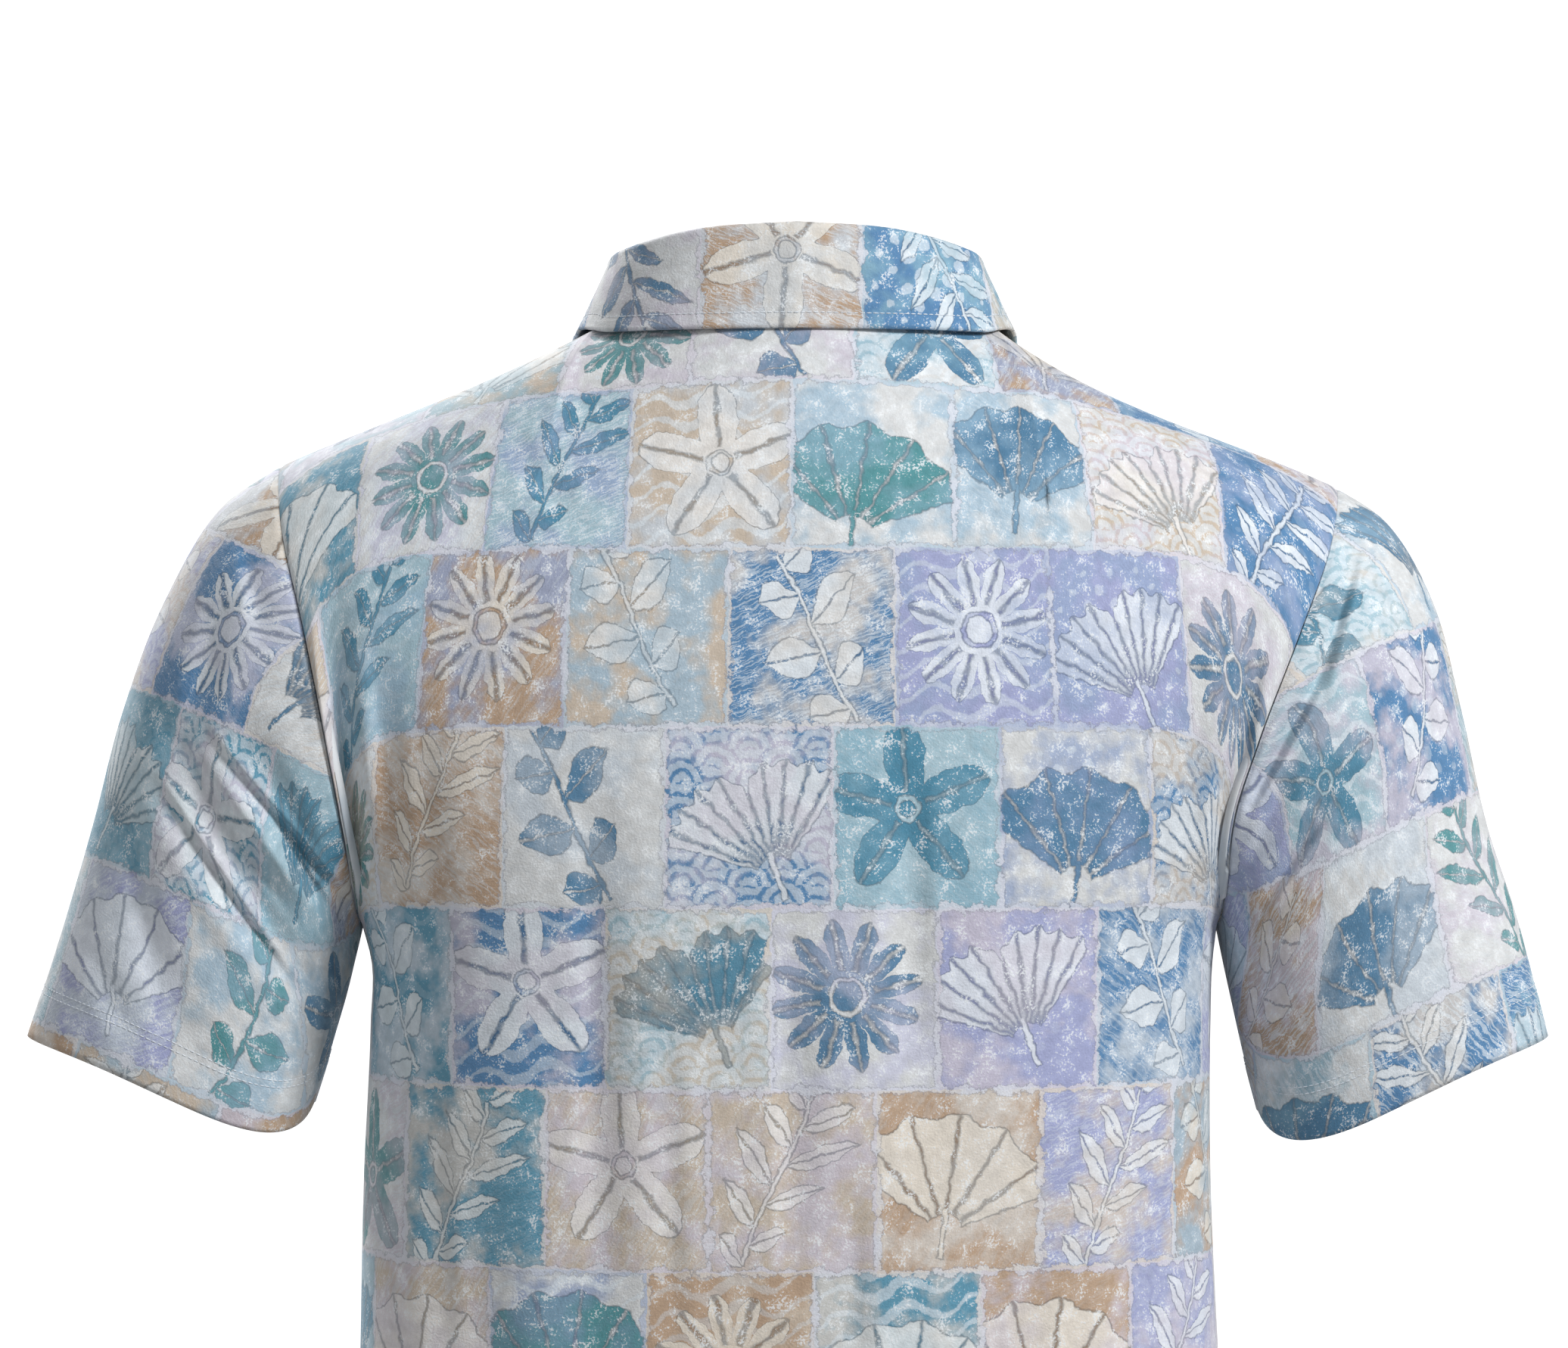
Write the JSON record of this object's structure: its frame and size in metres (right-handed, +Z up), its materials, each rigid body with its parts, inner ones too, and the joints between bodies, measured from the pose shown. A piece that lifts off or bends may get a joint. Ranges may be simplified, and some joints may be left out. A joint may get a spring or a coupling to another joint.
{
  "type": "polo shirt",
  "caption": "Short-sleeved polo shirt in printed jersey, filled out as if worn, with a turned-down collar and a buttoned placket, open at neck, sleeves and hem.",
  "frame": {"origin": "middle of the neck opening at the height of the shoulders' high points, where a wearer holds the shirt up", "axes": "+Z up, +Y out of the wearer's back, +X to the wearer's left"},
  "size_m": [0.7013, 0.259, 0.7844],
  "materials": {
    "back_cloth": "printed cotton jersey, matt with a slight sheen",
    "front_cloth": "printed cotton jersey, matt with a slight sheen",
    "sleeve_left_cloth": "printed cotton jersey, matt with a slight sheen",
    "sleeve_right_cloth": "printed cotton jersey, matt with a slight sheen",
    "collar_cloth": "printed cotton jersey, matt with a slight sheen",
    "placket_over_cloth": "printed cotton jersey, matt with a slight sheen",
    "placket_under_cloth": "printed cotton jersey, matt with a slight sheen",
    "button": "polished pearl-like plastic"
  },
  "bodies": {
    "root": {"back": "back_cloth", "front": "front_cloth", "sleeve_left": "sleeve_left_cloth", "sleeve_right": "sleeve_right_cloth", "collar": "collar_cloth", "placket_over": "placket_over_cloth", "placket_under": "placket_under_cloth", "button_1": "button", "button_2": "button", "button_3": "button"}
  },
  "joints": []
}
